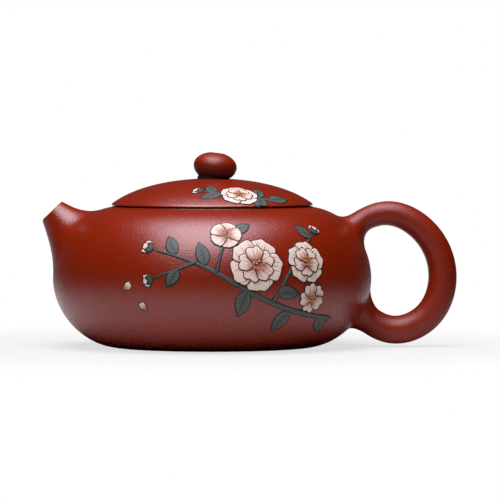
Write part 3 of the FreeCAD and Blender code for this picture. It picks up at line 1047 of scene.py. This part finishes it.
class TEAPOT_OT_body(bpy.types.Operator):
    """Turns the pot's shell and its mouth ring"""

    bl_idname = "teapot.body"
    bl_label = "Body"

    def execute(self, context):
        clay = clay_material()
        finish_piece(
            pot_shell(), "pot_shell", "pot", clay, nodes=("base_disc", "body_wall", "shoulder_disc")
        )
        p = pot()
        seat = p.rim_height - p.ring_height
        ring = turned([
            rz(p.mouth_radius, seat),
            rz(p.rim_radius, seat),
            rz(p.rim_radius, p.rim_height),
            rz(p.mouth_radius, p.rim_height),
        ], closed=True)
        top = [e for e in ring.edges if all(abs(v.co.z - p.rim_height) < SAME for v in e.verts)]
        rings = [e for e in top if abs(e.verts[0].co.xy.length - e.verts[1].co.xy.length) < SAME]
        bmesh.ops.bevel(
            ring, geom=rings, offset=p.ring_round, segments=4, profile=0.5, affect="EDGES", material=-1
        )
        # Painted shade on the ring's top face, where the lid sits on it.
        paint_seat_shade(ring, RING_SHADE, p.rim_height - HAIR, p.rim_height + HAIR, p.mouth_radius, p.rim_radius)
        finish_piece(ring, "rim_ring", "pot", clay, nodes=("mouth_ring",))
        return {"FINISHED"}


class TEAPOT_OT_spout(bpy.types.Operator):
    """Draws the spout from its flared root to the lip and down the bore"""

    bl_idname = "teapot.spout"
    bl_label = "Spout"

    def execute(self, context):
        bm, first, last = rings_to_bmesh(spout_rings())
        bmesh.ops.bridge_loops(bm, edges=first + last)
        bmesh.ops.recalc_face_normals(bm, faces=bm.faces)
        finish_piece(bm, "spout_skin", "pot", clay_material(), nodes=("spout",))
        return {"FINISHED"}


class TEAPOT_OT_handle(bpy.types.Operator):
    """Draws the ear handle with both of its luted roots"""

    bl_idname = "teapot.handle"
    bl_label = "Handle"

    def execute(self, context):
        bm, first, last = rings_to_bmesh(handle_rings())
        bmesh.ops.holes_fill(bm, edges=first + last)
        bmesh.ops.recalc_face_normals(bm, faces=bm.faces)
        finish_piece(bm, "handle_skin", "pot", rolled_clay_material(), nodes=("handle",))
        return {"FINISHED"}


class TEAPOT_OT_lid(bpy.types.Operator):
    """Turns the lid's dome and its knob"""

    bl_idname = "teapot.lid"
    bl_label = "Lid"

    def execute(self, context):
        clay = clay_material()
        d = lid()
        dome = turned(lid_chain(), closed=True)
        # Painted shade in the lid's seat and the gap under its edge.
        seat = pot().rim_height
        above = seat + d.relief * 0.8 + d.edge * 0.2
        paint_seat_shade(dome, SEAT_SHADE, seat - HAIR, above, d.hollow_radius, d.radius)
        finish_piece(dome, "lid_shell", "lid", clay, nodes=("lid_dome",))
        crown = cubic(dome_poles(), share_at(dome_poles(), 0, d.knob_shift))
        knob = turned(knob_chain(), closed=True, steps=96)
        # Painted shade on the knob: darker and duller from its foot up past its widest line, where the ball
        # shades its neck.
        paint_foot_shade(knob, KNOB_SHADE, 0, d.knob_centre * 1.5)
        lean = Matrix.Rotation(d.knob_lean, 3, "Y")
        bmesh.ops.rotate(knob, verts=knob.verts, cent=(0, 0, 0), matrix=lean)
        bmesh.ops.translate(knob, verts=knob.verts, vec=crown)
        finish_piece(knob, "knob_ball", "lid", rolled_clay_material(), nodes=("knob",))
        return {"FINISHED"}


class TEAPOT_OT_inner_clay(bpy.types.Operator):
    """Gives the strainer and the lid's flange their clay"""

    bl_idname = "teapot.inner_clay"
    bl_label = "Inner clay"

    def execute(self, context):
        for name in ("strainer", "lid_flange"):
            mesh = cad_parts[name].data
            mesh.materials.clear()
            mesh.materials.append(clay_material())
        return {"FINISHED"}


class TEAPOT_OT_spray(bpy.types.Operator):
    """Paints the blossom spray on the front of the belly"""

    bl_idname = "teapot.spray"
    bl_label = "Blossom spray"

    def execute(self, context):
        s = SlipSet(pot_ground())
        s.stem(((41, 11.5), (31, 13.0), (20, 16.5), (9, 24)), 0.85, 0.65)
        s.stem(((9.6, 23.5), (0, 30.0), (-9, 33.5), (-20, 36)), 0.68, 0.26)
        s.stem(((21, 18.0), (25, 24), (27, 32), (35, 41)), 0.50, 0.24, 1)
        s.stem(((2, 28.2), (2.5, 33), (4, 37), (6, 41)), 0.42, 0.24, 1)
        s.stem(((-5, 32), (-10, 29.5), (-15, 28.5), (-20, 26)), 0.40, 0.20, 1)
        s.leaf(36.5, 12.2, 7.5, 2.2, 2.4, 0.1, 1)
        s.leaf(26.5, 14.6, 9.0, 2.5, -2.5, -0.12, 1)
        s.leaf(23.0, 21.0, 7.5, 2.1, 1.5, 0.1, 2)
        s.leaf(12.5, 21.8, 9.0, 2.5, -2.7, -0.12, 1)
        s.leaf(-2.0, 30.8, 8.0, 2.2, -0.2, -0.1, 1)
        s.leaf(-12.0, 34.6, 7.0, 2.0, -0.6, 0.1, 1)
        s.leaf(-11.5, 29.3, 6.5, 1.9, -2.7, 0.1, 2)
        s.leaf(34.0, 39.5, 6.5, 1.9, -0.7, 0.1, 2)
        s.leaf(7.5, 42.0, 6.5, 1.9, 1.2, -0.1, 2)
        s.blossom(15.5, 31.0, 9.4, 0.5, 3, 2)
        s.blossom(32.5, 31.5, 7.4, 0.1, 3, 2)
        s.blossom(5.0, 41.0, 5.4, 0.3, 3)
        s.blossom(34.5, 19.0, 5.0, 0.9, 3)
        s.bud(-20, 36, 2.6, -1.2, 2)
        s.bud(-20, 26, 2.3, -1.9, 2)
        s.bud(35, 41, 2.3, 0.7, 2)
        s.loose_petal(-30, 22, 3.6, 0.9)
        s.loose_petal(-22, 15, 3.4, -0.6)
        s.finish("spray", "pot")
        return {"FINISHED"}


class TEAPOT_OT_lid_sprig(bpy.types.Operator):
    """Paints the small sprig on the lid"""

    bl_idname = "teapot.lid_sprig"
    bl_label = "Lid sprig"

    def execute(self, context):
        s = SlipSet(lid_ground())
        s.stem(((22, 51.6), (17, 52.8), (10, 54.2), (-3, 55.2)), 0.60, 0.28)
        s.leaf(20.0, 52.2, 8.0, 2.3, 1.5, 0.1, 1)
        s.leaf(17.0, 52.8, 7.5, 2.2, -2.6, -0.1, 1)
        s.leaf(16.0, 53.0, 8.0, 2.2, 0.5, 0.1, 1)
        s.leaf(3.0, 54.8, 7.5, 2.1, -2.3, 0.1, 1)
        s.leaf(1.5, 54.9, 7.0, 2.0, -0.6, 0.1, 1)
        s.blossom(9.5, 54.0, 6.6, 0.2, 2, 2)
        s.bud(-3, 55.2, 2.4, -1.4, 2)
        s.finish("lid_sprig", "lid")
        return {"FINISHED"}


# Studio

FLOOR_RADIUS = 1.2
FLOOR_COLOUR = (0.62, 0.61, 0.575, 1)
FLOOR_FADE = (0.055, 0.17)  # distances from the middle where it starts to fade and is gone
FLOOR_VEIL = 0.7  # share of it that the camera looks through
LILAC = (0.96, 0.895, 1.0)
ROOM_TINT = (1.0, 0.93, 0.91)
SHEET_TINT = (0.97, 0.90, 1.0)
# Light by height, from straight down at 0 to straight up at 1
ROOM_LEVELS = (
    (0.0, 0.53), (0.22, 0.465), (0.35, 0.325), (0.44, 0.155), (0.49, 0.043), (0.53, 0.01), (1.0, 0.006),
)
SHEET_LEVELS = ((0.0, 2.0), (0.38, 2.0), (0.45, 0.80), (0.49, 0.22), (0.55, 0.05), (1.0, 0.006))


def make_floor():
    """A pale floor that fades into the white behind, thin enough to the eye that its shadow stays soft."""
    bm = bmesh.new()
    bmesh.ops.create_circle(bm, cap_ends=True, radius=FLOOR_RADIUS, segments=96)
    mesh = bpy.data.meshes.new("pale_floor")
    bm.to_mesh(mesh)
    bm.free()
    floor = bpy.data.objects.new("pale_floor", mesh)
    bpy.context.scene.collection.objects.link(floor)
    material, tree, shader = new_material("pale_floor")
    shader.inputs["Base Color"].default_value = FLOOR_COLOUR
    shader.inputs["Roughness"].default_value = 0.7
    place = tree.nodes.new("ShaderNodeTexCoord").outputs["Object"]
    far = tree.nodes.new("ShaderNodeVectorMath")
    far.operation = "LENGTH"
    tree.links.new(place, far.inputs[0])
    near, gone = FLOOR_FADE
    fade = remap(
        tree, far.outputs["Value"], "SMOOTHSTEP", From_Min=near, From_Max=gone, To_Min=1.0, To_Max=0.0
    )
    path = tree.nodes.new("ShaderNodeLightPath")
    veil = calc(tree, "SUBTRACT", 1.0, calc(tree, "MULTIPLY", path.outputs["Is Camera Ray"], FLOOR_VEIL))
    tree.links.new(calc(tree, "MULTIPLY", fade, veil), shader.inputs["Alpha"])
    mesh.materials.append(material)


def level_ramp(tree, height, tint, levels):
    """Light levels from straight down to straight up."""
    room = tree.nodes.new("ShaderNodeValToRGB")
    for place, _ in levels[1:-1]:
        room.color_ramp.elements.new(place)
    for stop, (place, level) in zip(room.color_ramp.elements, levels):
        stop.position = place
        stop.color = [level * part for part in tint] + [1]
    tree.links.new(height, room.inputs["Fac"])
    return room.outputs["Color"]


def make_world():
    """White to the eye; as light, a white floor all round, a white sheet behind and a dim room above."""
    world = bpy.data.worlds.new("studio")
    bpy.context.scene.world = world
    world.use_nodes = True
    tree = world.node_tree
    seen = tree.nodes["Background"]
    seen.inputs["Color"].default_value = (1, 1, 1, 1)
    seen.inputs["Strength"].default_value = 1.0
    heading = tree.nodes.new("ShaderNodeSeparateXYZ")
    tree.links.new(tree.nodes.new("ShaderNodeTexCoord").outputs["Generated"], heading.inputs["Vector"])
    height = remap(tree, heading.outputs["Z"], From_Min=-1.0, From_Max=1.0)
    room = level_ramp(tree, height, ROOM_TINT, ROOM_LEVELS)
    sheet = level_ramp(tree, height, SHEET_TINT, SHEET_LEVELS)
    behind = remap(tree, heading.outputs["Y"], From_Min=0.75, From_Max=1.0)
    light = tree.nodes.new("ShaderNodeBackground")
    tree.links.new(mix(tree, behind, room, sheet), light.inputs["Color"])
    side = remap(tree, heading.outputs["X"], From_Min=-1.0, From_Max=1.0, To_Min=1.5, To_Max=0.5)
    tree.links.new(side, light.inputs["Strength"])
    path = tree.nodes.new("ShaderNodeLightPath")
    either = tree.nodes.new("ShaderNodeMixShader")
    tree.links.new(path.outputs["Is Camera Ray"], either.inputs["Fac"])
    tree.links.new(light.outputs["Background"], either.inputs[1])
    tree.links.new(seen.outputs["Background"], either.inputs[2])
    tree.links.new(either.outputs["Shader"], tree.nodes["World Output"].inputs["Surface"])


def aim(obj, target):
    obj.rotation_euler = (Vector(target) - obj.location).to_track_quat("-Z", "Y").to_euler()


def soft_box(name, place, target, width, height, watts):
    light = bpy.data.lights.new(name, "AREA")
    light.shape = "RECTANGLE"
    light.size = width
    light.size_y = height
    light.energy = watts
    light.color = LILAC
    lamp = bpy.data.objects.new(name, light)
    lamp.location = place
    bpy.context.scene.collection.objects.link(lamp)
    aim(lamp, target)


def make_camera():
    """The photograph's view: almost level, far away, with the pot a little left of the middle."""
    distance = 1.8
    raised = math.radians(2.0)
    middle = Vector((0.01327, 0, 0.0340))
    camera = bpy.data.cameras.new("photo_view")
    camera.sensor_width = 36.0
    camera.lens = 369.2
    camera.clip_start = 0.05
    camera.clip_end = 20.0
    holder = bpy.data.objects.new("photo_view", camera)
    holder.location = middle + Vector((0, -math.cos(raised), math.sin(raised))) * distance
    bpy.context.scene.collection.objects.link(holder)
    aim(holder, middle)
    bpy.context.scene.camera = holder


class TEAPOT_OT_stage(bpy.types.Operator):
    """Sets the pale floor, the soft boxes and the camera"""

    bl_idname = "teapot.stage"
    bl_label = "Stage"

    def execute(self, context):
        make_floor()
        make_world()
        soft_box("top_box", (-0.07, -0.25, 0.74), (-0.06, -0.19, 0.0), 0.56, 0.76, 6.9)
        soft_box("wide_box", (-0.07, -0.36, 0.75), (-0.06, -0.26, 0.0), 0.72, 1.45, 4.65)
        make_camera()
        context.scene.view_settings.view_transform = "Standard"
        return {"FINISHED"}


class TEAPOT_PT_sidebar(bpy.types.Panel):
    """Lists the operators and their sizes"""

    bl_idname = "TEAPOT_PT_sidebar"
    bl_label = "Clay teapot"
    bl_space_type = "VIEW_3D"
    bl_region_type = "UI"
    bl_category = "Teapot"

    def draw(self, context):
        for operator in OPERATORS:
            self.layout.operator(operator.bl_idname)
        for name in SETTINGS:
            group = getattr(context.scene, name)
            box = self.layout.box()
            box.label(text=name)
            for key in group.bl_rna.properties.keys():
                if key not in {"rna_type", "name"}:
                    box.prop(group, key)


OPERATORS = (
    TEAPOT_OT_body,
    TEAPOT_OT_spout,
    TEAPOT_OT_handle,
    TEAPOT_OT_lid,
    TEAPOT_OT_inner_clay,
    TEAPOT_OT_spray,
    TEAPOT_OT_lid_sprig,
    TEAPOT_OT_stage,
)
SETTINGS = {
    "teapot_pot": PotSizes,
    "teapot_limb": LimbSizes,
    "teapot_lid": LidSizes,
    "teapot_slip": SlipSizes,
    "teapot_colours": ClayColours,
}


def register():
    for name, group in SETTINGS.items():
        bpy.utils.register_class(group)
        setattr(bpy.types.Scene, name, PointerProperty(type=group))
    for operator in OPERATORS:
        bpy.utils.register_class(operator)
    bpy.utils.register_class(TEAPOT_PT_sidebar)


def unregister():
    bpy.utils.unregister_class(TEAPOT_PT_sidebar)
    for operator in reversed(OPERATORS):
        bpy.utils.unregister_class(operator)
    for name, group in SETTINGS.items():
        delattr(bpy.types.Scene, name)
        bpy.utils.unregister_class(group)


def main():
    register()
    bpy.ops.teapot.body()
    bpy.ops.teapot.spout()
    bpy.ops.teapot.handle()
    bpy.ops.teapot.lid()
    bpy.ops.teapot.inner_clay()
    bpy.ops.teapot.spray()
    bpy.ops.teapot.lid_sprig()
    bpy.ops.teapot.stage()


if __name__ == "__main__":
    main()
